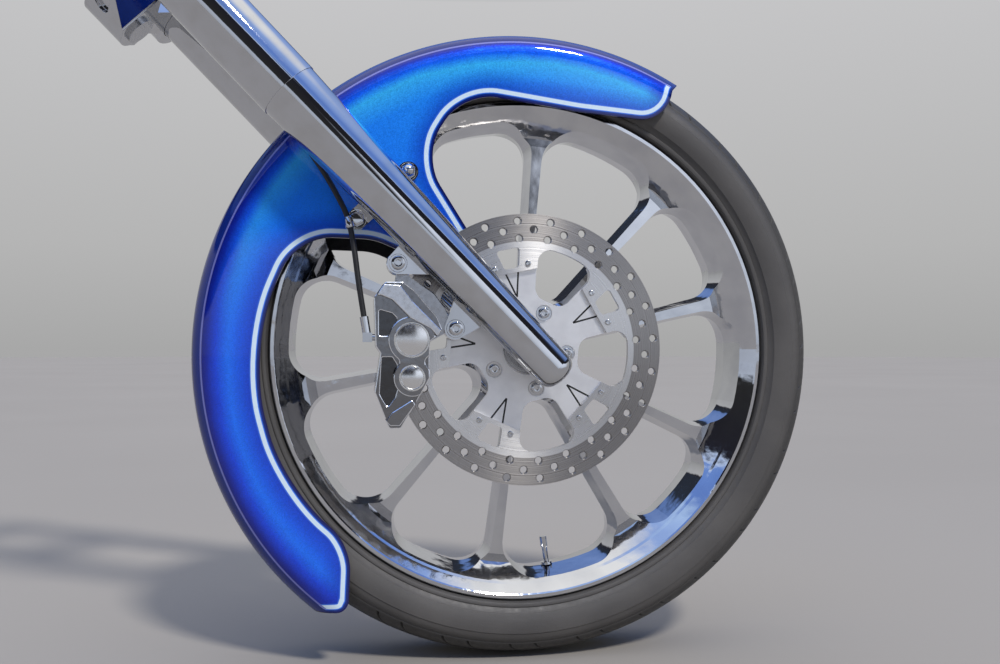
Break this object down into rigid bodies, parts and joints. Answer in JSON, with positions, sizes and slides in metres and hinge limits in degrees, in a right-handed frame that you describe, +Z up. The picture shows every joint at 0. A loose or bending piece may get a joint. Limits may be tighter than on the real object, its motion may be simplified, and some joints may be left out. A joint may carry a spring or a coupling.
{
  "type": "motorcycle front fork and wheel assembly",
  "caption": "Raked motorcycle front fork with clamps, spoked front wheel, wrap-around fender and disc brake, held at its steering stem.",
  "frame": {"origin": "on the steering stem's axis, on the lower clamp's top face", "axes": "+X forward, +Y to the motorcycle's left, along the axle, +Z up; the stem and legs lean back by the rake angle"},
  "size_m": [0.9953, 0.3228, 0.9882],
  "materials": {
    "tyre": "matt rubber",
    "polished_billet": "mirror-polished aluminium billet",
    "chrome": "bright chrome plate",
    "bearing_steel": "ground steel",
    "disc_steel": "brushed stainless steel",
    "candy_blue": "candy blue with fine metal flake under clear lacquer",
    "brake_lining": "sintered lining",
    "hose_rubber": "black covered hose"
  },
  "bodies": {
    "fork": {"axle": "bearing_steel", "spacer_right": "chrome", "spacer_left": "chrome", "fork_lower_right": "chrome", "fork_lower_left": "chrome", "fork_sleeve_right": "chrome", "fork_sleeve_left": "chrome", "fork_cap_right": "chrome", "fork_cap_left": "chrome", "lower_clamp": "chrome", "upper_clamp": "chrome", "steering_stem": "bearing_steel", "stem_nut": "chrome", "fender": "candy_blue", "fender_bracket_left": "chrome", "fender_bracket_right": "chrome", "caliper_outer": "polished_billet", "caliper_inner": "polished_billet", "piston_caps": "chrome", "brake_pads": "brake_lining", "brake_hose": "hose_rubber", "hose_elbow": "chrome", "hose_union": "chrome"},
    "wheel": {"tyre": "tyre", "wheel": "polished_billet", "valve_stem": "chrome", "bearing_right": "bearing_steel", "bearing_left": "bearing_steel", "hub_cap_left": "chrome", "brake_disc": "disc_steel", "disc_carrier": "polished_billet"}
  },
  "joints": [
    {"name": "wheel_roll", "type": "hinge", "parent": "fork", "child": "wheel", "pos_m": [0.47038, 0, -0.40071], "axis": [0, 1, 0], "continuous": true}
  ]
}
